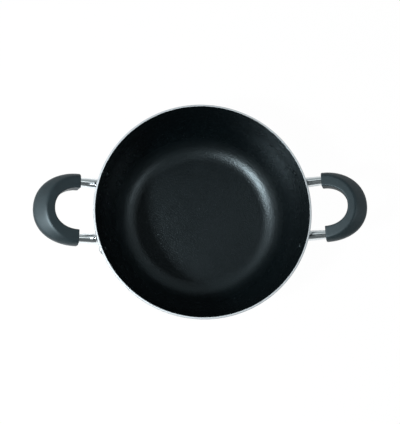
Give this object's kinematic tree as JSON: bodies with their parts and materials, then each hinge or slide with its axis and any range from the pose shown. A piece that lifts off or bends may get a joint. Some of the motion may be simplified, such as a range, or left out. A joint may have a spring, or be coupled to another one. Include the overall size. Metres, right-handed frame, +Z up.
{
  "type": "casserole pot",
  "caption": "Round nonstick cooking pot with sides that sweep up from a rounded floor edge, and a raised loop handle with a moulded grip riveted to each side.",
  "frame": {"origin": "middle of the underside, on the plane the pot stands on", "axes": "+Z up out of the mouth, X along the line through both handles, Y across them"},
  "size_m": [0.3716, 0.245, 0.099],
  "materials": {
    "nonstick_aluminium": "black nonstick coating inside, bare satin metal on the rim, the outside and the underside",
    "polished_steel": "polished",
    "phenolic": "satin charcoal moulding",
    "coated_rivet": "black nonstick coating on the head inside the pot, bare metal on the tail outside"
  },
  "bodies": {
    "root": {"pot_body": "nonstick_aluminium", "handle_loop_left": "polished_steel", "handle_loop_right": "polished_steel", "grip_left": "phenolic", "grip_right": "phenolic", "rivet_left_front": "coated_rivet", "rivet_left_rear": "coated_rivet", "rivet_right_front": "coated_rivet", "rivet_right_rear": "coated_rivet"}
  },
  "joints": []
}
